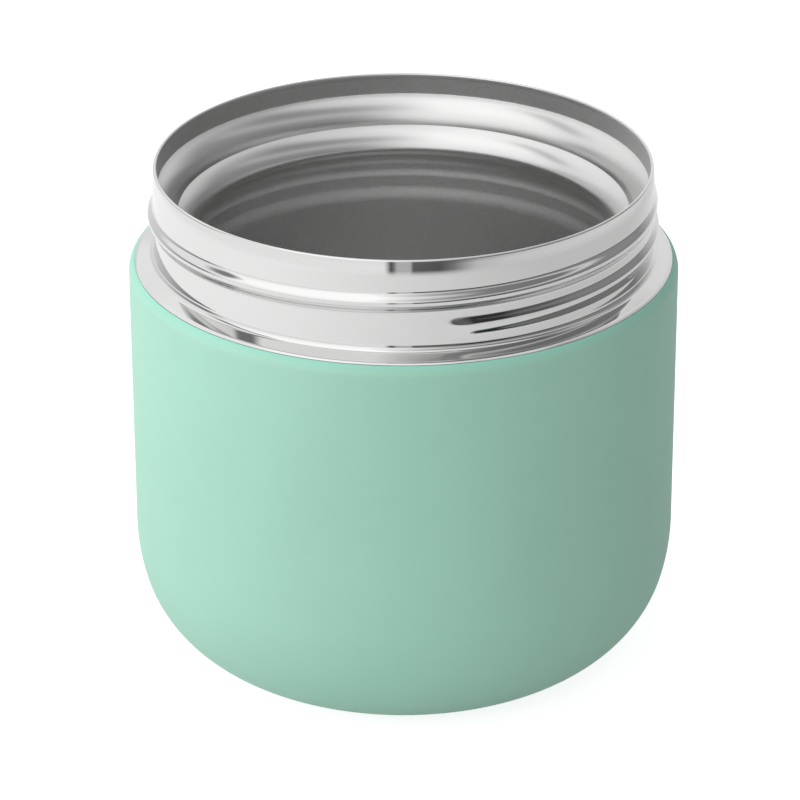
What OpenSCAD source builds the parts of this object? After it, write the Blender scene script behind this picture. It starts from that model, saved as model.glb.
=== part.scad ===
// Double-wall vacuum food jar, open, with an external screw thread on its neck.
// Millimetres, +Z up through the mouth, origin at the centre of the resting face.

/* [Body] */
// Outer diameter of the coated body
body_d = 113.2; // [110:0.2:130]
// Height from the resting face to the rim
jar_h = 108.6; // [96:0.2:150]
// Sheet thickness of the outer shell
shell_t = 0.6; // [0.4:0.05:1]
// Depth below the rim at which the straight side starts
side_drop = 22.7; // [21:0.1:30]
// Radius of the bend between the side and the shoulder
shoulder_r = 3; // [2:0.1:4]
// Slope of the shoulder in degrees
shoulder_slope = 16; // [8:1:25]
// Angle round the shoulder bend at which the coated shell ends
coat_edge_turn = 54.5; // [45:0.5:62]

/* [Bottom corner] */
// Radius of the slow bend where the side starts to turn in
slow_bend_r = 42; // [36:1:48]
// Angle that the slow bend turns through
slow_bend_turn = 15; // [5:1:25]
// Radius of the tighter bend that runs on to the base
tight_bend_r = 24.4; // [20:0.2:26]

/* [Neck] */
// Distance by which the neck's wall stands inside the body's side
neck_inset = 5.3; // [5:0.1:7]
// Sheet thickness of the neck
neck_t = 0.35; // [0.3:0.05:0.6]
// Gap between the neck's sheet and the liner's below the rolled rim lip
rim_gap = 0.1; // [0.05:0.05:0.3]
// Radius of the fillet between the neck and the shoulder
neck_fillet_r = 1.5; // [0.8:0.1:2]
// Height of the rolled rim lip
lip_h = 1; // [0.7:0.1:1.5]
// Height of the collar's skirt inside the shell
skirt_h = 5; // [3:0.5:10]
// Angle over which the collar steps in to lie under the shell
joggle_turn = 12; // [8:1:16]

/* [Thread] */
// Rise of the thread in one turn
thread_pitch = 5.9; // [5.4:0.1:6.6]
// Width of the rolled bead along the neck
bead_w = 4.4; // [3:0.1:4.4]
// Height of the bead above the neck
bead_h = 1.2; // [0.6:0.1:1.6]
// Depth below the rim at which the bead starts
thread_drop = 14.2; // [13:0.1:15]
// Direction in which the bead starts, in degrees from +X
thread_start = -82; // [-180:1:180]
// Angle that the bead runs through
thread_run = 482; // [400:1:520]
// Angle over which the bead grows to its full height from each end
thread_fade = 100; // [30:1:120]

/* [Liner] */
// Sheet thickness of the liner
liner_t = 0.5; // [0.3:0.05:0.6]
// Distance by which the cavity's wall stands back from the rim's inner wall
cavity_inset = 4.8; // [4:0.1:6]
// Height of the cavity's floor above the resting face
floor_z = 10; // [8:0.2:16]
// Inner radius of the bend between the cavity's wall and its floor
bowl_r = 16; // [10:0.5:20]
// Height above the resting face at which the liner's bottom is welded on
weld_z = 32; // [30:0.5:45]
// Depth below the rim of the crease under the rim band
crease_drop = 4.6; // [3.5:0.1:6]
// Distance by which the upper ridge stands in from the rim's inner wall
ridge_inset = 4; // [3:0.1:5]
// Depth below the rim of the upper ridge
ridge_drop = 10.3; // [9:0.1:11]
// Distance by which the throat stands in from the rim's inner wall
throat_inset = 7.6; // [6.5:0.1:9]
// Depth below the rim of the throat
throat_drop = 14.6; // [13:0.1:15]
// Angle that the throat's lip curls on past the vertical
throat_curl = 58; // [42:1:65]
// Depth below the rim of the upper ledge
upper_ledge_drop = 21.5; // [20.9:0.1:23]
// Depth below the rim of the lower ledge
lower_ledge_drop = 25.5; // [24.5:0.1:30]
// Width of each ledge
ledge_w = 0.6; // [0.3:0.1:0.9]
// Height over which each ledge slopes
ledge_h = 1; // [0.5:0.1:1.2]

/* [Base] */
// Width of the flange by which the outer bottom is welded on
flange_w = 2.5; // [1.5:0.1:2.8]
// Distance of that flange's edge from the bend of the shell's bottom corner
flange_margin = 2.1; // [1:0.1:10]
// Sheet thickness of the outer bottom
bottom_t = 0.5; // [0.4:0.05:0.8]
// Height of the outer bottom's panel above the resting face
panel_z = 3.2; // [2.8:0.1:4]
// Inner radius of the pump-out port
port_r = 4; // [3:0.1:6]
// Depth of the pump-out port
port_h = 1.6; // [1.2:0.1:2.4]
// Radius of the exhaust hole
exhaust_r = 0.8; // [0.5:0.1:1.2]
// Height of the seal bead in the port
seal_h = 1; // [0.6:0.1:1.2]
// Thickness of the base cover
cover_t = 0.5; // [0.4:0.05:0.8]
// Thickness of the adhesive films
adhesive_t = 0.1; // [0.05:0.05:0.2]
// Radial width of the film that holds the base cover
cover_film_w = 12; // [6:1:16]
// Distance of the films' edges from the edges of the pieces that they hold
film_margin = 0.5; // [0.2:0.1:1]
// Height by which the foot pad stands below the shell
foot_stand = 0.6; // [0.4:0.1:0.9]
// Radial width of the foot pad
foot_w = 6.5; // [4:0.5:8]
// Radius on the foot pad's lower edges
foot_edge_r = 0.4; // [0.2:0.1:0.6]

/* [Vacuum space] */
// Radius of the getter pellet
getter_r = 4; // [3:0.1:4.5]
// Height of the getter pellet
getter_h = 2; // [1.5:0.1:3]
// Width of the getter clip
clip_w = 4; // [2:0.5:6]
// Sheet thickness of the getter clip
clip_t = 0.25; // [0.2:0.05:0.4]
// Length of each foot of the getter clip
clip_foot = 2.5; // [1.5:0.1:3]
// Thickness of the copper foil
foil_t = 0.1; // [0.05:0.05:0.2]
// Distance of the side foil's edges from the weld and from the lower ledge
foil_margin = 2; // [1:0.5:5]

/* [Clearances] */
// Gap left between sheets at a welded lap or seam
seam_gap = 0.03; // [0.02:0.01:0.1]
// Gap round the pieces set into the base
base_gap = 0.3; // [0.2:0.05:0.5]
// Gap between the liner and the foil, and round the getter
loose_gap = 0.1; // [0.05:0.05:0.2]

/* [Hidden] */
$fa = 3;
$fs = 0.25;

// Colours
coat_colour = [0.58, 0.80, 0.73];
polished_colour = [0.82, 0.82, 0.82];
satin_colour = [0.62, 0.62, 0.62];
copper_colour = [0.80, 0.50, 0.35];
film_colour = [0.85, 0.85, 0.78];
silicone_colour = [0.50, 0.60, 0.57];

// Outer shell
body_r = body_d / 2;
side_top_z = jar_h - side_drop;
shoulder_c = [body_r - shoulder_r, side_top_z];
bend_step = slow_bend_r - tight_bend_r;
tight_c = [body_r - slow_bend_r + bend_step * cos(slow_bend_turn), foot_stand + tight_bend_r];
slow_c = [body_r - slow_bend_r, tight_c[1] + bend_step * sin(slow_bend_turn)];
opening_r = tight_c[0] - flange_margin - flange_w;

// Neck collar
neck_r = body_r - neck_inset;
lip_r = (neck_t + rim_gap + liner_t) / 2;
lap_depth = shell_t + seam_gap;
edge_turn = coat_edge_turn + asin(seam_gap / shoulder_r);
slope_up = [sin(shoulder_slope), cos(shoulder_slope)];
slope_out = polar(shoulder_c, shoulder_r, 90 - shoulder_slope);
fillet_x = neck_r + neck_fillet_r;
fillet_z = slope_out[1] + (neck_fillet_r - (fillet_x - slope_out[0]) * slope_up[0]) / slope_up[1];
fillet_c = [fillet_x, fillet_z];
slope_in = fillet_c - neck_fillet_r * slope_up;

// Thread
bead_root = neck_t / 2;
ring_turn = 5;
ring_count = ceil(thread_run / ring_turn) + 1;
bead_steps = 8;

// Liner
rim_in_r = neck_r - 2 * lip_r;
cavity_r = rim_in_r - cavity_inset;
ridge_r = rim_in_r - ridge_inset;
throat_r = rim_in_r - throat_inset;
ridge_bend_r = arc_radius(ridge_inset, ridge_drop - crease_drop);
ridge_c = [ridge_r + ridge_bend_r, jar_h - ridge_drop];
throat_bend_r = arc_radius(throat_inset - ridge_inset, throat_drop - ridge_drop);
throat_c = [throat_r + throat_bend_r, jar_h - throat_drop];
belly_r = cavity_r + 2 * ledge_w;
// Depth by which the flare starts inside the throat's bend, so that their edges cross cleanly
flare_inset = 0.005;

// Base
flange_z = foot_stand + shell_t;
recess_r = opening_r - bottom_t;
inset_r = recess_r - base_gap;
getter_x = (port_r + bottom_t + opening_r) / 2;
cover_z = panel_z - adhesive_t - cover_t;
foot_h = cover_z - adhesive_t;

function polar(c, r, a) = c + r * [cos(a), sin(a)];
// Radius of the bend that stands upright at its lower end, a inwards and b below its upper end
function arc_radius(a, b) = (a * a + b * b) / (2 * a);

// Section of a ring
module ring(r_in, r_out, z_low, z_high) {
    translate([r_in, z_low]) square([r_out - r_in, z_high - z_low]);
}

// Disc sector, used to cut a bend at a direction
module sector(c, reach, a_from, a_to) {
    polygon(concat([c], [for (i = [0:3]) polar(c, reach, a_from + (a_to - a_from) * i / 3)]));
}

// The sheets' sections are the difference between two areas that reach the axis, one inset from the other.

// Everything inside the coated shell
module shell_area(inset) {
    bend_low = tight_c[1] - tight_bend_r * sin(slow_bend_turn);
    translate(shoulder_c) circle(shoulder_r - inset);
    ring(0, body_r - inset, slow_c[1], side_top_z);
    intersection() {
        translate(slow_c) circle(slow_bend_r - inset);
        ring(0, body_r, bend_low + inset * sin(slow_bend_turn), slow_c[1]);
    }
    translate(tight_c) circle(tight_bend_r - inset);
    ring(0, tight_c[0], foot_stand + inset, tight_c[1]);
}

module outer_shell() {
    color(coat_colour) rotate_extrude() difference() {
        shell_area(0);
        shell_area(shell_t);
        sector(shoulder_c, 2 * shoulder_r, coat_edge_turn, 180);
        ring(0, opening_r, 0, flange_z + bottom_t);
    }
}

// Everything inside the neck, the shoulder and the skirt
module shoulder_area(inset) {
    skirt_low = side_top_z - skirt_h;
    difference() {
        polygon([
            [0, fillet_c[1]], [0, side_top_z], shoulder_c,
            slope_out - inset * slope_up, slope_in - inset * slope_up, fillet_c
        ]);
        translate(fillet_c) circle(neck_fillet_r + inset);
    }
    translate(shoulder_c) circle(shoulder_r - inset);
    ring(0, body_r - inset, skirt_low, side_top_z);
}

// Everything below a line through the shoulder bend's centre
module below_turn(turn) {
    sector(shoulder_c, 2 * body_r, turn - 180, turn);
}

module collar_section() {
    difference() {
        union() {
            translate([neck_r - lip_r, jar_h - lip_r]) circle(lip_r);
            ring(0, neck_r, fillet_c[1], jar_h - lip_r);
            difference() {
                shoulder_area(0);
                below_turn(edge_turn);
            }
            shoulder_area(lap_depth);
        }
        shoulder_area(lap_depth + neck_t);
        difference() {
            shoulder_area(neck_t);
            below_turn(edge_turn + joggle_turn);
        }
        ring(0, neck_r - neck_t, 0, jar_h - lip_h);
        ring(0, rim_in_r, 0, jar_h);
    }
}

// Share of the bead's full height at an angle along it
function fade(a) = let (s = min(1, a / thread_fade, (thread_run - a) / thread_fade)) s * s * (3 - 2 * s);

// Points of the bead's section, from its lower foot over its crest to its upper foot
function bead_ring(a) = [
    for (i = [0:bead_steps])
        let (
            s = i / bead_steps,
            r = neck_r - bead_root + (bead_h * fade(a) + bead_root) * sin(180 * s),
            z = jar_h - thread_drop + thread_pitch * a / 360 + bead_w * (s - 0.5),
            turn = thread_start + a
        ) [r * cos(turn), r * sin(turn), z]
];

module thread_bead() {
    n = bead_steps + 1;
    points = [for (k = [0:ring_count - 1]) each bead_ring(thread_run * k / (ring_count - 1))];
    sides = [
        for (k = [0:ring_count - 2], i = [0:n - 1])
            let (a = k * n + i, b = k * n + (i + 1) % n)
                each [[a, b, a + n], [b, b + n, a + n]]
    ];
    ends = [[for (i = [n - 1:-1:0]) i], [for (i = [0:n - 1]) (ring_count - 1) * n + i]];
    polyhedron(points, concat(sides, ends));
}

module neck_collar() {
    color(polished_colour) union() {
        rotate_extrude() collar_section();
        thread_bead();
    }
}

// Everything inside the liner's wall
module cavity_area(grow, z_low) {
    curl_end = polar(throat_c, throat_bend_r - grow - flare_inset, 180 + throat_curl);
    belly = belly_r + grow;
    ledge_zs = [jar_h - upper_ledge_drop, jar_h - lower_ledge_drop];
    difference() {
        ring(0, rim_in_r + grow, ridge_c[1], jar_h);
        translate(ridge_c) circle(ridge_bend_r - grow);
    }
    difference() {
        union() {
            ring(0, ridge_r + grow, (throat_c[1] + curl_end[1]) / 2, ridge_c[1] + grow);
            polygon([
                [0, throat_c[1]],
                [0, z_low],
                [cavity_r + grow, z_low],
                [cavity_r + grow, ledge_zs[1] - ledge_h / 2],
                [belly - ledge_w, ledge_zs[1] + ledge_h / 2],
                [belly - ledge_w, ledge_zs[0] - ledge_h / 2],
                [belly, ledge_zs[0] + ledge_h / 2],
                [belly, curl_end[1] - (belly - curl_end[0]) / tan(throat_curl)],
                curl_end,
                throat_c
            ]);
        }
        translate(throat_c) circle(throat_bend_r - grow);
    }
}

module inner_vessel() {
    color(satin_colour) rotate_extrude() difference() {
        cavity_area(liner_t, weld_z);
        cavity_area(0, 0);
        ring(0, neck_r, jar_h - lip_h - seam_gap, jar_h);
    }
}

// Everything inside the liner's bottom
module bowl_area(grow) {
    ring(0, cavity_r + grow, floor_z + bowl_r, weld_z);
    intersection() {
        translate([cavity_r - bowl_r, floor_z + bowl_r]) circle(bowl_r + grow);
        ring(0, cavity_r + grow, 0, weld_z);
    }
    ring(0, cavity_r - bowl_r, floor_z - grow, weld_z);
}

module inner_bottom() {
    color(satin_colour) rotate_extrude() difference() {
        bowl_area(liner_t);
        bowl_area(0);
    }
}

module outer_bottom() {
    port_top = panel_z + port_h;
    color(satin_colour) rotate_extrude() {
        ring(recess_r, opening_r + flange_w, flange_z, flange_z + bottom_t);
        ring(recess_r, opening_r, flange_z, panel_z + bottom_t);
        ring(port_r, opening_r, panel_z, panel_z + bottom_t);
        ring(port_r, port_r + bottom_t, panel_z, port_top + bottom_t);
        ring(exhaust_r, port_r + bottom_t, port_top, port_top + bottom_t);
    }
}

module vacuum_seal() {
    color(film_colour) translate([0, 0, panel_z + port_h - seal_h]) cylinder(r = port_r - loose_gap, h = seal_h);
}

module getter_pellet() {
    color("dimgray") translate([getter_x, 0, panel_z + bottom_t]) cylinder(r = getter_r, h = getter_h);
}

module getter_clip() {
    inside = getter_r + loose_gap;
    rise = getter_h + loose_gap;
    color(satin_colour) translate([getter_x, clip_w / 2, panel_z + bottom_t]) rotate([90, 0, 0])
        linear_extrude(clip_w) {
            for (side = [0, 1]) mirror([side, 0]) {
                translate([inside, 0]) square([clip_t + clip_foot, clip_t]);
                translate([inside, 0]) square([clip_t, rise + clip_t]);
            }
            translate([-inside - clip_t, rise]) square([2 * (inside + clip_t), clip_t]);
        }
}

module copper_foil() {
    foil_r = cavity_r + liner_t + loose_gap;
    foil_top = jar_h - lower_ledge_drop - ledge_h / 2 - foil_margin;
    color(copper_colour) rotate_extrude() ring(foil_r, foil_r + foil_t, weld_z + foil_margin, foil_top);
}

module foil_disc() {
    color(copper_colour) translate([0, 0, floor_z - liner_t - foil_t])
        cylinder(r = cavity_r - bowl_r, h = foil_t);
}

module base_cover() {
    color(satin_colour) translate([0, 0, cover_z]) cylinder(r = inset_r, h = cover_t);
}

module cover_adhesive() {
    film_r = inset_r - film_margin;
    color(film_colour) rotate_extrude() ring(film_r - cover_film_w, film_r, panel_z - adhesive_t, panel_z);
}

module foot_pad() {
    color(silicone_colour) rotate_extrude() {
        ring(inset_r - foot_w, inset_r, foot_edge_r, foot_h);
        ring(inset_r - foot_w + foot_edge_r, inset_r - foot_edge_r, 0, foot_edge_r);
        for (r = [inset_r - foot_w + foot_edge_r, inset_r - foot_edge_r])
            translate([r, foot_edge_r]) circle(foot_edge_r);
    }
}

module pad_adhesive() {
    color(film_colour) rotate_extrude()
        ring(inset_r - foot_w + film_margin, inset_r - film_margin, foot_h, cover_z);
}

outer_shell();
neck_collar();
inner_vessel();
inner_bottom();
outer_bottom();
vacuum_seal();
getter_pellet();
getter_clip();
copper_foil();
foil_disc();
base_cover();
cover_adhesive();
foot_pad();
pad_adhesive();
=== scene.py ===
# Food jar of stainless steel: a mint powder-coated body, a polished neck with a rolled thread, a satin liner
import bmesh
import bpy
import math
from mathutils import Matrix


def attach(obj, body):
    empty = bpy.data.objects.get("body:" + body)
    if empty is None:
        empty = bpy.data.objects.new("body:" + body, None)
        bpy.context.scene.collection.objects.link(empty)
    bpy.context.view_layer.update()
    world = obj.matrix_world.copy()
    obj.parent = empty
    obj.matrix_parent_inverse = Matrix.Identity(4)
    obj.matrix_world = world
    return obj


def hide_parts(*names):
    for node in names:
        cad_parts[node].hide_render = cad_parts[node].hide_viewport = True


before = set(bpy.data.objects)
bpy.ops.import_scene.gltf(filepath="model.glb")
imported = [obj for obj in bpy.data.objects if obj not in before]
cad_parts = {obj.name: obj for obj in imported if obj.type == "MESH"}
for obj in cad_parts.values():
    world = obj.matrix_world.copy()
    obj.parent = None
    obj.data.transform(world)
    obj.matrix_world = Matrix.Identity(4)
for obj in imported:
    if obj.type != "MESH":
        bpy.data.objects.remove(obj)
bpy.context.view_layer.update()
mm = 0.001
print("frame loaded")

# Camera

view = {"place": (0.0, -0.76806, 0.41916), "tilt": 64.616, "turn": 0.006, "roll": 0.114, "lens": 182.43,
        "sensor": 36.0}

camData = bpy.data.cameras.new("jarCamera")
camData.lens = view["lens"]
camData.sensor_width = view["sensor"]
cam = bpy.data.objects.new("jarCamera", camData)
cam.location = view["place"]
cam.rotation_euler = [math.radians(view[k]) for k in ("tilt", "roll", "turn")]
bpy.context.scene.collection.objects.link(cam)
bpy.context.scene.camera = cam
print("camera placed")

# Mesh helpers. A section is a run of points, each a radius and a height in millimetres. Turns are in degrees.

near = 1e-4  # points closer than this are one point
sharpAngle = 32  # an edge that bends more than this stays sharp


def arc(centre, radius, fromTurn, toTurn, steps):
    turns = [math.radians(fromTurn + (toTurn - fromTurn) * i / steps) for i in range(steps + 1)]
    return [(centre[0] + radius * math.cos(t), centre[1] + radius * math.sin(t)) for t in turns]


def onArc(centre, radius, turn):
    return arc(centre, radius, turn, turn, 1)[0]


def line(start, end, steps):
    return [(start[0] + (end[0] - start[0]) * i / steps, start[1] + (end[1] - start[1]) * i / steps)
            for i in range(steps + 1)]


def joined(*runs):
    points = []
    for run in runs:
        for p in run:
            if not points or math.dist(p, points[-1]) > near:
                points.append(p)
    if math.dist(points[0], points[-1]) < near:
        points.pop()
    return points


def addPiece(name, verts, faces, nodes):
    mesh = bpy.data.meshes.new(name)
    mesh.from_pydata(verts, [], faces)
    mesh.validate()
    solid = bmesh.new()
    solid.from_mesh(mesh)
    bmesh.ops.recalc_face_normals(solid, faces=solid.faces)
    solid.to_mesh(mesh)
    solid.free()
    mesh.shade_smooth()
    mesh.set_sharp_from_angle(angle=math.radians(sharpAngle))
    piece = bpy.data.objects.new(name, mesh)
    bpy.context.scene.collection.objects.link(piece)
    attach(piece, "root")
    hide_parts(*nodes)


# Turns a closed section round the jar's axis, in as many steps as around says. push says how far a point
# moves outwards, from its radius, its height and its turn in radians. A point on the axis becomes one vertex.
def lathe(name, section, nodes, around, push=None):
    verts, rings = [], []
    for r, z in section:
        first = len(verts)
        if r < near:
            verts.append((0, 0, z * mm))
        else:
            for k in range(around):
                turn = 2 * math.pi * k / around
                out = r + push(r, z, turn) if push else r
                verts.append((out * math.cos(turn) * mm, out * math.sin(turn) * mm, z * mm))
        rings.append(range(first, len(verts)))
    faces = []
    for i, here in enumerate(rings):
        there = rings[(i + 1) % len(rings)]
        for k in range(around):
            ends = ((here, k), (here, k + 1), (there, k + 1), (there, k))
            corners = list(dict.fromkeys(ring[j % len(ring)] for ring, j in ends))
            if len(corners) > 2:
                faces.append(corners)
    addPiece(name, verts, faces, nodes)


# Main sizes in millimetres and degrees, shared by the pieces that meet. The lower corner is a slow bend and
# then a tight one.

jar = {"bodyR": 56.6, "height": 108.6, "neckR": 51.3, "rimInR": 50.35, "sideTop": 85.9, "shoulderR": 3.0,
       "slope": 16.0, "coatTurn": 54.5, "foot": 0.6, "slowR": 42.0, "slowTurn": 15.0, "tightR": 24.4,
       "neckT": 0.35, "shellT": 0.6, "linerT": 0.5, "openingR": 27.0}

shoulderC = (jar["bodyR"] - jar["shoulderR"], jar["sideTop"])
bendStep = jar["slowR"] - jar["tightR"]
tightC = (jar["bodyR"] - jar["slowR"] + bendStep * math.cos(math.radians(jar["slowTurn"])),
          jar["foot"] + jar["tightR"])
slowC = (jar["bodyR"] - jar["slowR"], tightC[1] + bendStep * math.sin(math.radians(jar["slowTurn"])))

# Coated shell

shell = {"edgeRound": 0.18, "around": 320,
         "steps": {"shoulder": 14, "side": 24, "slow": 12, "tight": 36, "base": 4, "edge": 5}}


# The wall at an inset from its outside, from the neck down to the base opening. edge shortens it at the neck.
def shellSide(inset, edge=0.0):
    steps, sideR, low = shell["steps"], jar["bodyR"] - inset, jar["foot"] + inset
    return joined(arc(shoulderC, jar["shoulderR"] - inset, jar["coatTurn"] - edge, 0, steps["shoulder"]),
                  line((sideR, jar["sideTop"]), (sideR, slowC[1]), steps["side"]),
                  arc(slowC, jar["slowR"] - inset, 0, -jar["slowTurn"], steps["slow"]),
                  arc(tightC, jar["tightR"] - inset, -jar["slowTurn"], -90, steps["tight"]),
                  line((tightC[0], low), (jar["openingR"], low), steps["base"]))


def makeShell():
    r = shell["edgeRound"]
    edgeTurn = math.degrees(r / jar["shoulderR"])
    c = onArc(shoulderC, jar["shoulderR"] - r, jar["coatTurn"] - edgeTurn)
    outside = shellSide(0, edgeTurn)
    inside = shellSide(jar["shellT"])
    rim = arc(c, r, jar["coatTurn"] + 90, jar["coatTurn"], shell["steps"]["edge"])
    section = joined(outside, inside[::-1], rim)
    lathe("coatedShell", section, ["outer_shell"], shell["around"])


makeShell()
print("shell made")

# Neck collar: rim lip, wall with its rolled thread, shoulder and the lap under the shell

neck = {"easeIn": 0.22, "easeFrom": 3.5, "lip": 1.0, "fillet": 1.5, "seam": 0.03, "joggleTurn": 12.0,
        "skirt": 5.0, "around": 480,
        "steps": {"lip": 14, "ease": 12, "wall": 140, "fillet": 10, "shoulder": 8, "lap": 6,
                  "insideFillet": 6, "insideShoulder": 3, "insideWall": 4}}

# The bead reaches further below its middle than above it. At both ends it grows in a quick and a slow rise.
# quick and slow are the rises' lengths in degrees.
thread = {"pitch": 5.85, "above": 2.0, "below": 2.85, "height": 1.2, "drop": 14.25, "start": -82.0,
          "run": 482.0, "quick": 8.0, "quickShare": 0.35, "slow": 100.0}

slopeRad = math.radians(jar["slope"])
slopeOut = onArc(shoulderC, jar["shoulderR"], 90 - jar["slope"])
filletX = jar["neckR"] + neck["fillet"]
filletRise = neck["fillet"] - (filletX - slopeOut[0]) * math.sin(slopeRad)
filletC = (filletX, slopeOut[1] + filletRise / math.cos(slopeRad))


def smoothStep(s):
    s = min(1.0, max(0.0, s))
    return s * s * (3 - 2 * s)


# Share of the bead's full height at an angle from one of its ends
def threadRise(a):
    share = thread["quickShare"]
    return share * smoothStep(a / thread["quick"]) + (1 - share) * smoothStep(a / thread["slow"])


# How far the bead stands out at a height and a turn, here in radians. All laps that may pass there are tried.
def threadHeight(z, turn):
    out = 0.0
    base = math.degrees(turn) - thread["start"]
    for lap in (-1, 0, 1, 2):
        a = base + 360 * lap
        if 0 < a < thread["run"]:
            mid = jar["height"] - thread["drop"] + thread["pitch"] * a / 360
            u = (z - mid) / (thread["above"] if z > mid else thread["below"])
            if abs(u) < 1:
                grow = threadRise(a) * threadRise(thread["run"] - a)
                out = max(out, thread["height"] * grow * 0.5 * (1 + math.cos(math.pi * u)))
    return out


def makeCollar():
    steps, t, sR = neck["steps"], jar["neckT"], jar["shoulderR"]
    wallR, top = jar["neckR"], jar["height"]
    lipR = (wallR - neck["easeIn"] - jar["rimInR"]) / 2
    lipC = (wallR - neck["easeIn"] - lipR, top - lipR)
    easeZ = top - neck["easeFrom"]
    deep = jar["shellT"] + neck["seam"]
    skirtR, skirtZ = jar["bodyR"] - deep, jar["sideTop"] - neck["skirt"]
    edgeTurn = jar["coatTurn"] + math.degrees(neck["seam"] / sR)
    lapTurn = edgeTurn + neck["joggleTurn"]
    topRun = [(wallR - neck["easeIn"] * ((z - easeZ) / (lipC[1] - easeZ)) ** 2, z)
              for _, z in line((wallR, lipC[1]), (wallR, easeZ), steps["ease"])]
    outside = joined(arc(lipC, lipR, 180, 0, steps["lip"]),
                     topRun,
                     line((wallR, easeZ), (wallR, filletC[1]), steps["wall"]),
                     arc(filletC, neck["fillet"], 180, 270 - jar["slope"], steps["fillet"]),
                     arc(shoulderC, sR, 90 - jar["slope"], edgeTurn, steps["shoulder"]),
                     arc(shoulderC, sR - deep, edgeTurn, 0, steps["lap"]),
                     [(skirtR, skirtZ)])
    inside = joined([(skirtR - t, skirtZ)],
                    arc(shoulderC, sR - deep - t, 0, lapTurn, steps["lap"]),
                    arc(shoulderC, sR - t, lapTurn, 90 - jar["slope"], steps["insideShoulder"]),
                    arc(filletC, neck["fillet"] + t, 270 - jar["slope"], 180, steps["insideFillet"]),
                    line((wallR - t, filletC[1]), (wallR - t, top - neck["lip"]), steps["insideWall"]),
                    [(jar["rimInR"], top - neck["lip"])])

    # the bead stands on the wall's outer side only
    def bead(r, z, turn):
        return threadHeight(z, turn) if r > wallR - t / 2 else 0.0

    lathe("neckCollar", joined(outside, inside), ["neck_collar"], neck["around"], bead)


makeCollar()
print("collar made")

# Liner: rim wall, two rolled ridges with rounded creases above them, throat, two soft ledges, cavity and bowl

# ridgeIn, throatIn and cavityIn are measured inwards from the rim's wall. crease, ridge, throat and both
# ledges are drops below the rim, and weld and floor are heights. A lean above 1 puts a ledge's flattest part
# nearer its lower end. Tilts and curl are in degrees.
liner = {"crease": 4.6, "creaseRound": 0.14, "ridgeIn": 4.0, "ridge": 10.3, "ridgeTilt": 8.0,
         "throatIn": 7.6, "throat": 14.6, "throatRound": 1.8, "throatTilt": 20.0, "curl": 58.0,
         "cavityIn": 4.8, "upperW": 0.28, "upperLedge": (19.8, 22.2), "upperLean": 1.4, "shelfTaper": 0.1,
         "lowerW": 0.56, "lowerLedge": (24.0, 27.8), "lowerLean": 0.85, "weld": 32.0, "floor": 10.0,
         "bowlR": 16.0, "around": 320,
         "steps": {"rim": 6, "crease": 8, "upperRidge": 28, "lowerRidge": 20, "throat": 16, "belly": 10,
                   "ledge": 14, "wall": 16, "bowlWall": 4, "bowl": 24, "floor": 12}}

cavityR = jar["rimInR"] - liner["cavityIn"]


def turnTo(start, end):
    return math.degrees(math.atan2(end[1] - start[1], end[0] - start[0]))


# Centre and radius of a bend that runs through start, where it faces turn, and through start + step
def bendThrough(start, step, turn):
    x, z = math.cos(math.radians(turn)), math.sin(math.radians(turn))
    r = -(step[0] ** 2 + step[1] ** 2) / (2 * (step[0] * x + step[1] * z))
    return (start[0] - r * x, start[1] - r * z), r


# Centre of the round that touches two others, the first above the second, on their side towards the axis
def nestedC(centreA, reachA, centreB, reachB):
    apart = math.dist(centreA, centreB)
    along = (reachA * reachA - reachB * reachB + apart * apart) / (2 * apart)
    aside = math.sqrt(reachA * reachA - along * along)
    ux, uz = (centreB[0] - centreA[0]) / apart, (centreB[1] - centreA[1]) / apart
    return (centreA[0] + along * ux + aside * uz, centreA[1] + along * uz - aside * ux)


def shares(steps):
    return [i / steps for i in range(steps + 1)]


# A ledge eases in from one radius to the next between two drops below the rim
def ledgeRun(fromR, toR, drops, lean):
    return [(fromR + (toR - fromR) * smoothStep(s ** lean),
             jar["height"] - drops[0] - (drops[1] - drops[0]) * s)
            for s in shares(liner["steps"]["ledge"])]


# A corner rounded off between a point before it and a point after it
def eased(start, corner, end, steps):
    return [tuple((1 - s) ** 2 * a + 2 * s * (1 - s) * b + s * s * c for a, b, c in zip(start, corner, end))
            for s in shares(steps)]


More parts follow.
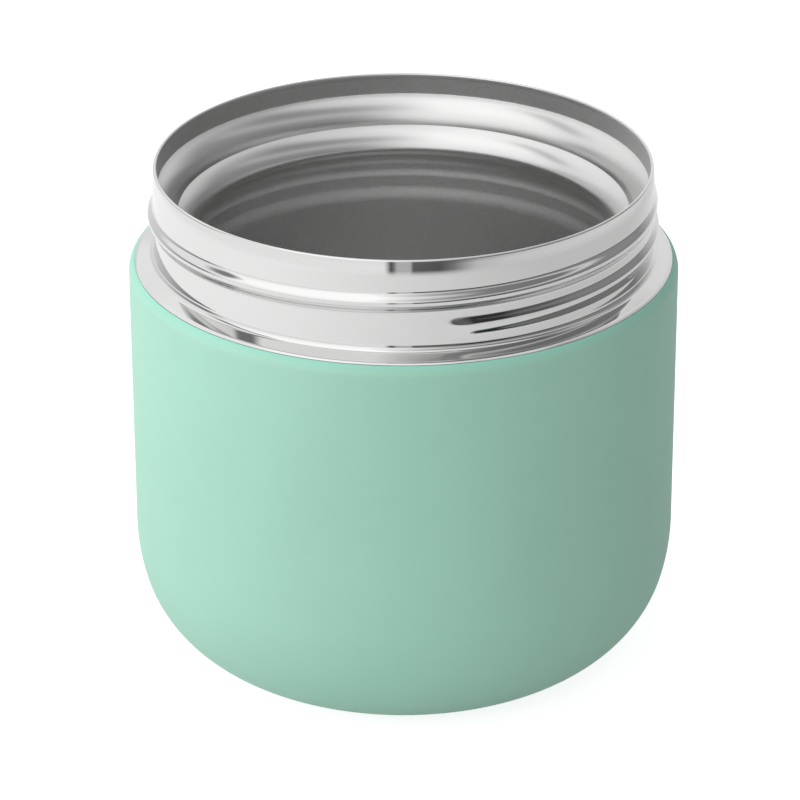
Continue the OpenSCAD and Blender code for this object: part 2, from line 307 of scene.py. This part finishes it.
# The liner's wall, grown outwards from its inner side
def linerSide(grow):
    steps, top = liner["steps"], jar["height"] - neck["lip"] - neck["seam"]
    rimR, f = jar["rimInR"], liner["creaseRound"]
    ridgeEnd = (rimR - liner["ridgeIn"], jar["height"] - liner["ridge"])
    ridgeStep = (liner["ridgeIn"], liner["ridge"] - liner["crease"])
    cA, rA = bendThrough(ridgeEnd, ridgeStep, 180 - liner["ridgeTilt"])
    rT = liner["throatRound"]
    cT = (rimR - liner["throatIn"] + rT, jar["height"] - liner["throat"])
    tipTurn, curlTurn = 180 - liner["throatTilt"], 180 + liner["curl"]
    tip = onArc(cT, rT, tipTurn)
    cB, rB = bendThrough(tip, (ridgeEnd[0] - tip[0], ridgeEnd[1] - tip[1]), tipTurn)
    upperC = (rimR - f, cA[1] + math.sqrt((rA + f) ** 2 - (cA[0] - rimR + f) ** 2))
    lowerC = nestedC(cA, rA + f, cB, rB + f)
    shelfLowR = cavityR + liner["lowerW"] + grow
    shelfR = shelfLowR + liner["shelfTaper"]
    bellyR = shelfR + liner["upperW"]
    endC = onArc(cT, rT - grow, curlTurn)
    bellyZ = endC[1] - (bellyR - endC[0]) / math.tan(math.radians(liner["curl"]))
    ledgeTop = (bellyR, jar["height"] - liner["upperLedge"][0])
    wallR, wallTop = cavityR + grow, jar["height"] - liner["lowerLedge"][1]
    return joined(line((rimR + grow, top), (rimR + grow, upperC[1]), steps["rim"]),
                  arc(upperC, f + grow, 0, turnTo(upperC, cA), steps["crease"]),
                  arc(cA, rA - grow, turnTo(cA, upperC), turnTo(cA, lowerC) % 360, steps["upperRidge"]),
                  arc(lowerC, f + grow, turnTo(lowerC, cA), turnTo(lowerC, cB), steps["crease"]),
                  arc(cB, rB - grow, turnTo(cB, lowerC), tipTurn, steps["lowerRidge"]),
                  arc(cT, rT - grow, tipTurn, curlTurn, steps["throat"]),
                  eased(endC, (bellyR, bellyZ), ledgeTop, steps["belly"]),
                  ledgeRun(bellyR, shelfR, liner["upperLedge"], liner["upperLean"]),
                  ledgeRun(shelfLowR, wallR, liner["lowerLedge"], liner["lowerLean"]),
                  line((wallR, wallTop), (wallR, liner["weld"]), steps["wall"]))


def bowlSide(grow):
    steps, r = liner["steps"], liner["bowlR"]
    c = (cavityR - r, liner["floor"] + r)
    low = liner["floor"] - grow
    return joined(line((cavityR + grow, liner["weld"]), (cavityR + grow, c[1]), steps["bowlWall"]),
                  arc(c, r + grow, 0, -90, steps["bowl"]),
                  line((c[0], low), (0, low), steps["floor"]))


def makeLiner():
    wall = joined(linerSide(0), linerSide(jar["linerT"])[::-1])
    bowl = joined(bowlSide(0), bowlSide(jar["linerT"])[::-1])
    lathe("liner", wall, ["inner_vessel"], liner["around"])
    lathe("linerBottom", bowl, ["inner_bottom"], liner["around"])


makeLiner()
print("liner made")

# Foot ring and base cover, seen from below

base = {"gap": 0.3, "sheet": 0.5, "ringW": 6.5, "ringEdge": 0.4, "coverZ": 2.6, "coverT": 0.5,
        "coverEdge": 0.1, "film": 0.1, "ringAround": 256, "coverAround": 192,
        "steps": {"edge": 6, "side": 3, "top": 6, "foot": 10, "coverLow": 24, "coverHigh": 6}}


def makeBase():
    steps, outR = base["steps"], jar["openingR"] - base["sheet"] - base["gap"]
    inR, top, e = outR - base["ringW"], base["coverZ"] - base["film"], base["ringEdge"]
    ring = joined(arc((outR - e, e), e, -90, 0, steps["edge"]),
                  line((outR, e), (outR, top), steps["side"]),
                  line((outR, top), (inR, top), steps["top"]),
                  line((inR, top), (inR, e), steps["side"]),
                  arc((inR + e, e), e, 180, 270, steps["edge"]),
                  line((inR + e, 0), (outR - e, 0), steps["foot"]))
    lathe("footRing", ring, ["foot_pad"], base["ringAround"])
    low, high, bevel = base["coverZ"], base["coverZ"] + base["coverT"], base["coverEdge"]
    cover = joined(line((0, low), (outR - bevel, low), steps["coverLow"]),
                   [(outR, low + bevel), (outR, high - bevel)],
                   line((outR - bevel, high), (0, high), steps["coverHigh"]))
    lathe("baseCover", cover, ["base_cover"], base["coverAround"])


makeBase()
print("base made")


# Node helpers

def put(tree, kind, **settings):
    node = tree.nodes.new(kind)
    for key, value in settings.items():
        setattr(node, key, value)
    return node


# Links a socket to another, or sets a value on it
def feed(tree, value, socket):
    if isinstance(value, bpy.types.NodeSocket):
        tree.links.new(value, socket)
    else:
        socket.default_value = value


def calc(tree, operation, *values, clamp=False):
    node = put(tree, "ShaderNodeMath", operation=operation, use_clamp=clamp)
    for value, socket in zip(values, node.inputs):
        feed(tree, value, socket)
    return node.outputs[0]


def separated(tree, vector):
    node = put(tree, "ShaderNodeSeparateXYZ")
    tree.links.new(vector, node.inputs[0])
    return node.outputs


def objectPlace(tree):
    return put(tree, "ShaderNodeTexCoord").outputs["Object"]


# One colour over another by a share; on this node the colours are sockets 6 and 7, and their mix is output 2
def blend(tree, share, under, over):
    node = put(tree, "ShaderNodeMix", data_type="RGBA")
    tree.links.new(share, node.inputs["Factor"])
    feed(tree, under, node.inputs[6])
    feed(tree, over, node.inputs[7])
    return node.outputs[2]


# Grey levels at stops between a low and a high value
def rampOf(tree, value, stops, low, high):
    share = calc(tree, "DIVIDE", calc(tree, "SUBTRACT", value, low), high - low)
    node = put(tree, "ShaderNodeValToRGB")
    tree.links.new(share, node.inputs[0])
    ramp = node.color_ramp
    while len(ramp.elements) < len(stops):
        ramp.elements.new(0.5)
    for element, (place, level) in zip(ramp.elements, stops):
        element.position = (place - low) / (high - low)
        element.color = (level, level, level, 1)
    return node.outputs[0]


def mapped(tree, value, fromMin, fromMax, toMin=0.0, toMax=1.0, kind="LINEAR"):
    node = put(tree, "ShaderNodeMapRange", interpolation_type=kind)
    for label, given in (("Value", value), ("From Min", fromMin), ("From Max", fromMax),
                         ("To Min", toMin), ("To Max", toMax)):
        feed(tree, given, node.inputs[label])
    return node.outputs[0]


def newGroup(name, inputs, outputs):
    tree = bpy.data.node_groups.new(name, "ShaderNodeTree")
    for label, value in inputs.items():
        kind = "NodeSocketFloat" if isinstance(value, (int, float)) else "NodeSocketColor"
        tree.interface.new_socket(name=label, in_out="INPUT", socket_type=kind).default_value = value
    for label, kind in outputs.items():
        tree.interface.new_socket(name=label, in_out="OUTPUT", socket_type="NodeSocket" + kind)
    return tree, put(tree, "NodeGroupInput").outputs, put(tree, "NodeGroupOutput").inputs


def use(tree, groupTree, **values):
    node = put(tree, "ShaderNodeGroup", node_tree=groupTree)
    for label, value in values.items():
        feed(tree, value, node.inputs[label])
    return node.outputs


# Effects that several finishes share. Lengths in them are millimetres on the jar.

effect = {"lineDetail": 3, "markDetail": 3, "markTwist": 0.6, "markContrast": 3}


# Distance from the jar's axis and height above its resting face
def makeJarPlace():
    tree, _, result = newGroup("jarPlace", {}, {"Radius": "Float", "Height": "Float"})
    x, y, z = separated(tree, objectPlace(tree))
    across = calc(tree, "ADD", calc(tree, "MULTIPLY", x, x), calc(tree, "MULTIPLY", y, y))
    tree.links.new(calc(tree, "MULTIPLY", calc(tree, "SQRT", across), 1 / mm), result["Radius"])
    tree.links.new(calc(tree, "MULTIPLY", z, 1 / mm), result["Height"])
    return tree


# 1 where a value lies between two limits, fading out over a soft margin
def makeZone():
    limits = {"Value": 0.0, "From": 0.0, "To": 1.0, "Soft": 0.1}
    tree, given, result = newGroup("zone", limits, {"Mask": "Float"})
    past = calc(tree, "SUBTRACT", given["Value"], given["From"])
    left = calc(tree, "SUBTRACT", given["To"], given["Value"])
    rise, fall = [calc(tree, "DIVIDE", span, given["Soft"], clamp=True) for span in (past, left)]
    tree.links.new(calc(tree, "MULTIPLY", rise, fall), result["Mask"])
    return tree


def noiseOf(tree, size, detail, twist=0.0):
    node = put(tree, "ShaderNodeTexNoise")
    tree.links.new(objectPlace(tree), node.inputs["Vector"])
    tree.links.new(calc(tree, "DIVIDE", 1 / mm, size), node.inputs["Scale"])
    feed(tree, detail, node.inputs["Detail"])
    node.inputs["Distortion"].default_value = twist
    return node.outputs[0]


# Even grain all over, such as blasted steel, orange peel or moulded texture
def makeGrain():
    tree, given, result = newGroup("fineGrain", {"Size": 0.4, "Detail": 2.0}, {"Grain": "Float"})
    tree.links.new(noiseOf(tree, given["Size"], given["Detail"]), result["Grain"])
    return tree


# Fine lines that run round the jar's axis, as spinning and polishing leave them
def makeTurned():
    tree, given, result = newGroup("turnedLines", {"Width": 0.12, "Sweep": 18.0}, {"Lines": "Float"})
    at, place = separated(tree, objectPlace(tree)), use(tree, jarPlace)
    coord = put(tree, "ShaderNodeCombineXYZ")
    for i in (0, 1):
        sweep = calc(tree, "DIVIDE", calc(tree, "MULTIPLY", at[i], 1 / mm), given["Sweep"])
        tree.links.new(sweep, coord.inputs[i])
    tree.links.new(calc(tree, "DIVIDE", place["Radius"], given["Width"]), coord.inputs[2])
    noise = put(tree, "ShaderNodeTexNoise", noise_dimensions="4D")
    tree.links.new(coord.outputs[0], noise.inputs["Vector"])
    tree.links.new(calc(tree, "DIVIDE", place["Height"], given["Width"]), noise.inputs["W"])
    noise.inputs["Scale"].default_value = 1
    noise.inputs["Detail"].default_value = effect["lineDetail"]
    tree.links.new(noise.outputs[0], result["Lines"])
    return tree


# Broad soft marks left by hands and cloths
def makeHandling():
    tree, given, result = newGroup("handling", {"Size": 22.0, "Cover": 0.5}, {"Mask": "Float"})
    noise = noiseOf(tree, given["Size"], effect["markDetail"], effect["markTwist"])
    over = calc(tree, "SUBTRACT", noise, calc(tree, "SUBTRACT", 1, given["Cover"]))
    tree.links.new(calc(tree, "MULTIPLY_ADD", over, effect["markContrast"], 0.5, clamp=True), result["Mask"])
    return tree


# A colour made lighter or darker by a mask that lies round one half
def makeToned():
    inputs = {"Colour": (1, 1, 1, 1), "Mask": 0.5, "Amount": 0.1}
    tree, given, result = newGroup("toned", inputs, {"Colour": "Color"})
    change = calc(tree, "MULTIPLY", calc(tree, "SUBTRACT", given["Mask"], 0.5), given["Amount"])
    scale = put(tree, "ShaderNodeVectorMath", operation="SCALE")
    tree.links.new(given["Colour"], scale.inputs[0])
    tree.links.new(calc(tree, "ADD", change, 1), scale.inputs["Scale"])
    tree.links.new(scale.outputs[0], result["Colour"])
    return tree


jarPlace, zone, fineGrain = makeJarPlace(), makeZone(), makeGrain()
turnedLines, handling, toned = makeTurned(), makeHandling(), makeToned()
print("effects made")


# Finishes

# A material on the scene's own pieces and on nodes of the frame; values are set on the shader's own sockets
def finish(name, pieces, cadNodes, values):
    mat = bpy.data.materials.new(name)
    mat.use_nodes = True
    tree = mat.node_tree
    tree.nodes.clear()
    shader = put(tree, "ShaderNodeBsdfPrincipled")
    tree.links.new(shader.outputs[0], put(tree, "ShaderNodeOutputMaterial").inputs[0])
    for label, value in values.items():
        shader.inputs[label].default_value = value
    for pieceName in pieces:
        bpy.data.objects[pieceName].data.materials.append(mat)
    for nodeName in cadNodes:
        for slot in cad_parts[nodeName].material_slots:
            slot.link = "OBJECT"
            slot.material = mat
    return tree, shader


# Colour, roughness and a relief with its depth in millimetres
def dress(tree, shader, colour, rough, relief, depth):
    feed(tree, colour, shader.inputs["Base Color"])
    feed(tree, rough, shader.inputs["Roughness"])
    node = put(tree, "ShaderNodeBump")
    node.inputs["Distance"].default_value = depth * mm
    tree.links.new(relief, node.inputs["Height"])
    tree.links.new(node.outputs[0], shader.inputs["Normal"])


# Powder coat: satin, with a fine orange peel, and a painted highlight at its rolled edge: a band tinted
# fuller in colour
coat = {"colour": (0.39, 0.70, 0.56, 1), "paintedHighlightColour": (0.335, 0.70, 0.56, 1), "edgeDeep": 1.5,
        "edgeSoft": 1.0, "ior": 1.5, "rough": 0.5, "roughSpread": 0.05, "tone": 0.03, "markSize": 30.0,
        "markCover": 0.5, "peelSize": 0.8, "peelDetail": 2.0, "peelDepth": 0.004}


def makeCoat():
    tree, shader = finish("mintCoat", ["coatedShell"], [], {"IOR": coat["ior"]})
    marks = use(tree, handling, Size=coat["markSize"], Cover=coat["markCover"])["Mask"]
    height = use(tree, jarPlace)["Height"]
    # painted highlight: a band along the rolled edge is tinted fuller in colour and stands in for the light
    # on the edge's rounding
    edgeLow = onArc(shoulderC, jar["shoulderR"], jar["coatTurn"])[1] - coat["edgeDeep"]
    edge = use(tree, zone, Value=height, From=edgeLow, To=jar["height"], Soft=coat["edgeSoft"])["Mask"]
    colour = blend(tree, edge, coat["colour"], coat["paintedHighlightColour"])
    tone = use(tree, toned, Colour=colour, Mask=marks, Amount=coat["tone"])["Colour"]
    peel = use(tree, fineGrain, Size=coat["peelSize"], Detail=coat["peelDetail"])["Grain"]
    rough = calc(tree, "MULTIPLY_ADD", peel, coat["roughSpread"], coat["rough"])
    dress(tree, shader, tone, rough, peel, coat["peelDepth"])


# Neck: mirror polish with faint lines from the polishing wheel, satin on the inner side of the rim lip
mirror = {"colour": (0.66, 0.658, 0.655, 1), "rough": 0.03, "tone": 0.03, "lineRough": 0.05, "lineWidth": 0.2,
          "sweep": 30.0, "markSize": 12.0, "markCover": 0.45, "rippleSize": 9.0, "rippleDetail": 1.0,
          "rippleDepth": 0.004, "lipRough": 0.3, "lipEdge": 0.4, "lipSoft": 0.1}


def makeNeckSteel():
    tree, shader = finish("mirrorSteel", ["neckCollar"], [], {"Metallic": 1})
    radius, lipTo = use(tree, jarPlace)["Radius"], jar["rimInR"] + mirror["lipEdge"]
    lines = use(tree, turnedLines, Width=mirror["lineWidth"], Sweep=mirror["sweep"])["Lines"]
    marks = use(tree, handling, Size=mirror["markSize"], Cover=mirror["markCover"])["Mask"]
    lip = use(tree, zone, Value=radius, From=0.0, To=lipTo, Soft=mirror["lipSoft"])["Mask"]
    wheel = calc(tree, "MULTIPLY", lines, marks)
    rough = calc(tree, "MULTIPLY_ADD", wheel, mirror["lineRough"], mirror["rough"])
    rough = calc(tree, "MULTIPLY_ADD", lip, mirror["lipRough"], rough)
    tone = use(tree, toned, Colour=mirror["colour"], Mask=lines, Amount=mirror["tone"])["Colour"]
    ripple = use(tree, fineGrain, Size=mirror["rippleSize"], Detail=mirror["rippleDetail"])["Grain"]
    dress(tree, shader, tone, rough, ripple, mirror["rippleDepth"])


# Liner: rim band and cavity blasted to a satin, the rolled ridges between them polished
satin = {"colour": (0.66, 0.658, 0.655, 1), "rough": 0.46, "rimRough": 0.4, "ridgeRough": 0.28, "spread": 0.1,
         "tone": 0.25, "blastSize": 0.6, "blastDetail": 3.0, "blastDepth": 0.012, "lineWidth": 0.3,
         "lineDepth": 0.0015, "sweep": 25.0, "belowThroat": 0.3, "ridgeSoft": 0.6, "rimSoft": 0.3}


def makeLinerSteel():
    tree, shader = finish("satinSteel", ["liner", "linerBottom"], [], {"Metallic": 1})
    height, top = use(tree, jarPlace)["Height"], jar["height"]
    lines = use(tree, turnedLines, Width=satin["lineWidth"], Sweep=satin["sweep"])["Lines"]
    grain = use(tree, fineGrain, Size=satin["blastSize"], Detail=satin["blastDetail"])["Grain"]
    rimLow, ridgeLow = top - liner["crease"], top - liner["throat"] - satin["belowThroat"]
    ridges = use(tree, zone, Value=height, From=ridgeLow, To=rimLow, Soft=satin["ridgeSoft"])["Mask"]
    rim = use(tree, zone, Value=height, From=rimLow - satin["rimSoft"], To=top, Soft=satin["rimSoft"])["Mask"]
    blasted = calc(tree, "SUBTRACT", 1, ridges)
    spread = calc(tree, "MULTIPLY", calc(tree, "SUBTRACT", grain, 0.5),
                  calc(tree, "MULTIPLY", blasted, satin["spread"]))
    rough = calc(tree, "ADD", spread, satin["rough"])
    rough = calc(tree, "MULTIPLY_ADD", ridges, satin["ridgeRough"] - satin["rough"], rough)
    rough = calc(tree, "MULTIPLY_ADD", rim, satin["rimRough"] - satin["rough"], rough)
    amount = calc(tree, "MULTIPLY", blasted, satin["tone"])
    tone = use(tree, toned, Colour=satin["colour"], Mask=grain, Amount=amount)["Colour"]
    relief = calc(tree, "MULTIPLY_ADD", lines, satin["lineDepth"] / satin["blastDepth"], grain)
    dress(tree, shader, tone, rough, calc(tree, "MULTIPLY", relief, blasted), satin["blastDepth"])


# Bare sheet of the base cover, the outer bottom and the getter's clip, with spinning lines
sheet = {"colour": (0.60, 0.60, 0.59, 1), "rough": 0.3, "tone": 0.08, "lineRough": 0.25, "lineWidth": 0.15,
         "lineDepth": 0.002, "sweep": 12.0, "markSize": 8.0, "markCover": 0.4}


def makeSheetSteel():
    tree, shader = finish("spunSheet", ["baseCover"], ["outer_bottom", "getter_clip"], {"Metallic": 1})
    lines = use(tree, turnedLines, Width=sheet["lineWidth"], Sweep=sheet["sweep"])["Lines"]
    marks = use(tree, handling, Size=sheet["markSize"], Cover=sheet["markCover"])["Mask"]
    rough = calc(tree, "MULTIPLY_ADD", lines, sheet["lineRough"], sheet["rough"])
    tone = use(tree, toned, Colour=sheet["colour"], Mask=marks, Amount=sheet["tone"])["Colour"]
    dress(tree, shader, tone, rough, lines, sheet["lineDepth"])


# Silicone, glass, sintered, foil and film pieces: a colour, a grain and marks of handling
plainMarks = {"size": 6.0, "cover": 0.45, "grainDetail": 3.0}
plain = [
    {"name": "silicone", "pieces": ["footRing"], "cadNodes": [],
     "colour": (0.21, 0.30, 0.27, 1), "metallic": 0, "rough": 0.62, "spread": 0.2,
     "size": 0.35, "depth": 0.01, "tone": 0.18},
    {"name": "sealingGlass", "pieces": [], "cadNodes": ["vacuum_seal"],
     "colour": (0.10, 0.09, 0.075, 1), "metallic": 0, "rough": 0.18, "spread": 0.2,
     "size": 1.2, "depth": 0.04, "tone": 0.4},
    {"name": "sinteredGetter", "pieces": [], "cadNodes": ["getter_pellet"],
     "colour": (0.045, 0.045, 0.047, 1), "metallic": 0.7, "rough": 0.6, "spread": 0.3,
     "size": 0.25, "depth": 0.03, "tone": 0.6},
    {"name": "copperFoil", "pieces": [], "cadNodes": ["copper_foil", "foil_disc"],
     "colour": (0.84, 0.42, 0.28, 1), "metallic": 1, "rough": 0.22, "spread": 0.2,
     "size": 7.0, "depth": 0.12, "tone": 0.15},
    {"name": "adhesiveFilm", "pieces": [], "cadNodes": ["cover_adhesive", "pad_adhesive"],
     "colour": (0.70, 0.68, 0.58, 1), "metallic": 0, "rough": 0.35, "spread": 0.3,
     "size": 1.5, "depth": 0.01, "tone": 0.1},
]


def makePlainFinish(f):
    tree, shader = finish(f["name"], f["pieces"], f["cadNodes"], {"Metallic": f["metallic"]})
    grain = use(tree, fineGrain, Size=f["size"], Detail=plainMarks["grainDetail"])["Grain"]
    marks = use(tree, handling, Size=plainMarks["size"], Cover=plainMarks["cover"])["Mask"]
    rough = calc(tree, "MULTIPLY_ADD", marks, f["spread"], f["rough"])
    tone = use(tree, toned, Colour=f["colour"], Mask=grain, Amount=f["tone"])["Colour"]
    dress(tree, shader, tone, rough, grain, f["depth"])


makeCoat()
makeNeckSteel()
makeLinerSteel()
makeSheetSteel()
for plainFinish in plain:
    makePlainFinish(plainFinish)
print("finishes made")

# Studio: a pale floor, and round it what the steel mirrors. A turn of 0 is towards -Y, and 90 towards +X.

# The floor's sizes are metres. seen is its glow for the camera, and left and right are its glow in the steel.
ground = {"radius": 0.45, "sides": 128, "colour": 0.62, "fade": (0.29, 0.43), "seen": 0.82,
          "left": 0.68, "right": 0.22, "reach": 0.25}

studio = {
    "even": 0.38, "front": 1.47, "frontTurn": -75, "over": 1.2, "overFrom": 80, "bandEdge": 3,
    # each band runs from its elevation up to the next one's, with its brightness by turn
    "bands": [
        (-90, [(-180, 1.0), (-140, 1.1), (-85, 1.12), (-7.5, 1.12), (-6.5, 0.1), (-4.5, 0.1), (-3.5, 0.6),
               (3, 0.6), (4, 0.15), (16, 0.12), (22, 0.25), (32, 0.7), (46, 0.8), (180, 1.0)]),
        (-8, [(-180, 1.0), (-130, 0.8), (-106, 0.35), (-96, 0.25), (-84, 1.05), (-7.5, 1.0), (-6.5, 0.1),
              (-4.5, 0.1), (-3.5, 0.6), (3, 0.6), (4, 0.18), (22, 0.14), (28, 0.04), (42, 0.04),
              (50, 0.12), (64, 0.14), (80, 0.25), (125, 0.32), (150, 0.9), (180, 1.0)]),
        (14, [(-180, 1.1), (-93, 1.1), (-85, 1.25), (-20, 1.3), (-8, 1.2), (0, 1.1), (12, 0.75),
              (24, 0.42), (47, 0.32), (80, 0.3), (125, 0.35), (150, 0.9), (180, 1.1)]),
        (32, [(-180, 1.0), (-150, 1.2), (-110, 1.1), (-106, 0.3), (-96, 0.3), (-90, 1.35), (-20, 1.35),
              (0, 1.15), (24, 0.9), (50, 0.85), (100, 0.8), (125, 0.5), (140, 0.7), (155, 1.0),
              (166, 0.4), (180, 1.0)]),
        (40, [(-180, 1.0), (-140, 1.2), (-110, 1.2), (-106, 0.3), (-96, 0.3), (-90, 1.45), (-20, 1.45),
              (0, 0.9), (12, 0.6), (24, 0.42), (52, 0.28), (90, 0.24), (110, 0.4), (140, 0.8),
              (155, 1.0), (166, 0.4), (180, 1.0)]),
        (60, [(-180, 1.0), (-168, 1.4), (-95, 1.4), (-20, 1.5), (0, 1.15), (24, 1.05), (50, 1.0),
              (100, 0.9), (140, 0.9), (180, 1.0)]),
    ],
}


# Fades out towards its edge in mirrored views, and isn't seen from below
def makeFloorMaterial():
    mat = bpy.data.materials.new("paleFloor")
    mat.use_nodes = True
    tree = mat.node_tree
    tree.nodes.clear()
    link = tree.links.new
    diffuse = put(tree, "ShaderNodeBsdfDiffuse")
    diffuse.inputs[0].default_value = (ground["colour"],) * 3 + (1,)
    path = put(tree, "ShaderNodeLightPath")
    glow = put(tree, "ShaderNodeEmission")
    where = objectPlace(tree)
    side = mapped(tree, separated(tree, where)[0], -ground["reach"], ground["reach"],
                  ground["left"], ground["right"])
    seen = calc(tree, "MULTIPLY", path.outputs["Is Camera Ray"], ground["seen"])
    mirrored = calc(tree, "MULTIPLY", path.outputs["Is Glossy Ray"], side)
    link(calc(tree, "ADD", seen, mirrored), glow.inputs["Strength"])
    across = put(tree, "ShaderNodeVectorMath", operation="LENGTH")
    link(where, across.inputs[0])
    outer = mapped(tree, across.outputs["Value"], *ground["fade"], kind="SMOOTHSTEP")
    fade = calc(tree, "MULTIPLY", path.outputs["Is Glossy Ray"], outer)
    add = put(tree, "ShaderNodeAddShader")
    link(diffuse.outputs[0], add.inputs[0])
    link(glow.outputs[0], add.inputs[1])
    mix = put(tree, "ShaderNodeMixShader")
    behind = put(tree, "ShaderNodeNewGeometry").outputs["Backfacing"]
    link(calc(tree, "MAXIMUM", behind, fade), mix.inputs[0])
    link(add.outputs[0], mix.inputs[1])
    link(put(tree, "ShaderNodeBsdfTransparent").outputs[0], mix.inputs[2])
    link(mix.outputs[0], put(tree, "ShaderNodeOutputMaterial").inputs[0])
    return mat


def makeFloor():
    r, sides = ground["radius"], ground["sides"]
    turns = [2 * math.pi * i / sides for i in range(sides)]
    mesh = bpy.data.meshes.new("floor")
    mesh.from_pydata([(r * math.cos(t), r * math.sin(t), 0) for t in turns], [], [tuple(range(sides))])
    floor = bpy.data.objects.new("floor", mesh)
    bpy.context.scene.collection.objects.link(floor)
    floor.data.materials.append(makeFloorMaterial())


makeFloor()
print("floor made")


# The surroundings that the steel mirrors
def bandsLevel(tree, turn, rise):
    edge = studio["bandEdge"]

    def above(elevation):
        return rampOf(tree, rise, [(elevation - edge, 0), (elevation + edge, 1)], -90, 90)

    level = None
    for elevation, stops in studio["bands"]:
        band = rampOf(tree, turn, stops, -180, 180)
        level = blend(tree, above(elevation), level, band) if level else band
    return blend(tree, above(studio["overFrom"]), level, (studio["over"],) * 3 + (1,))


# Glossy rays see the bands, camera rays see white, and the light is even, with a broad one from frontTurn
def makeWorld():
    world = bpy.data.worlds.new("studio")
    bpy.context.scene.world = world
    world.use_nodes = True
    tree = world.node_tree
    tree.nodes.clear()
    link = tree.links.new
    x, y, z = separated(tree, put(tree, "ShaderNodeTexCoord").outputs["Generated"])
    turnRad = calc(tree, "ARCTAN2", x, calc(tree, "MULTIPLY", y, -1))
    turn = calc(tree, "MULTIPLY", turnRad, 180 / math.pi)
    rise = calc(tree, "MULTIPLY", calc(tree, "ARCSINE", z), 180 / math.pi)
    light, mirrored, seen = [put(tree, "ShaderNodeBackground") for _ in range(3)]
    for background in (light, seen):
        background.inputs["Color"].default_value = (1, 1, 1, 1)
    link(bandsLevel(tree, turn, rise), mirrored.inputs["Color"])
    aside = calc(tree, "SUBTRACT", turn, studio["frontTurn"])
    facing = calc(tree, "COSINE", calc(tree, "MULTIPLY", aside, math.pi / 180))
    strength = calc(tree, "MULTIPLY_ADD", calc(tree, "MAXIMUM", facing, 0), studio["front"], studio["even"])
    link(strength, light.inputs["Strength"])
    path = put(tree, "ShaderNodeLightPath")
    shader = light.outputs[0]
    for other, ray in ((mirrored, "Is Glossy Ray"), (seen, "Is Camera Ray")):
        choose = put(tree, "ShaderNodeMixShader")
        link(path.outputs[ray], choose.inputs[0])
        link(shader, choose.inputs[1])
        link(other.outputs[0], choose.inputs[2])
        shader = choose.outputs[0]
    link(shader, put(tree, "ShaderNodeOutputWorld").inputs[0])


makeWorld()
print("surroundings made")

bpy.context.scene.view_settings.view_transform = "Standard"
